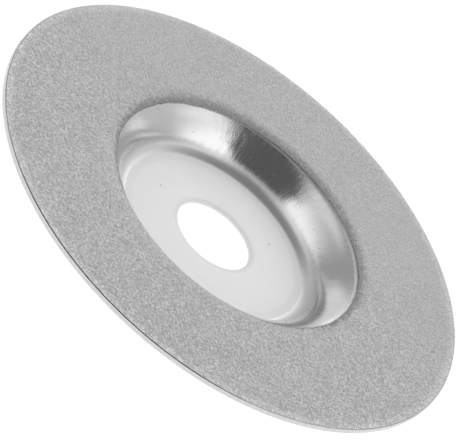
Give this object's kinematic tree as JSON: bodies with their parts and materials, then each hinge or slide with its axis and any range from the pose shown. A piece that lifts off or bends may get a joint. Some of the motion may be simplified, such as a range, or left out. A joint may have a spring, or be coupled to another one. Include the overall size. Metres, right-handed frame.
{
  "type": "diamond grinding wheel",
  "caption": "Thin pressed-steel grinding disc with a recessed hub, a central bore and a nickel-bonded diamond grit face, for an angle grinder.",
  "frame": {"origin": "centre of the bore at the hub's back face, which rests on the surface", "axes": "+Z along the spin axis, out of the recessed working face; +X and +Y lie in the plane of the disc"},
  "size_m": [0.1, 0.1, 0.0084],
  "materials": {
    "core_steel": "bright satin nickel plate on pressed steel, with soft reflections and a few tiny pits",
    "nickel_bond": "dull grey electroplated nickel between the grains",
    "diamond_grit": "matte grey crushed diamond grit, rough and faintly sparkling"
  },
  "bodies": {
    "root": {"steel_core": "core_steel", "nickel_bond": "nickel_bond", "diamond_grit": "diamond_grit"}
  },
  "joints": []
}
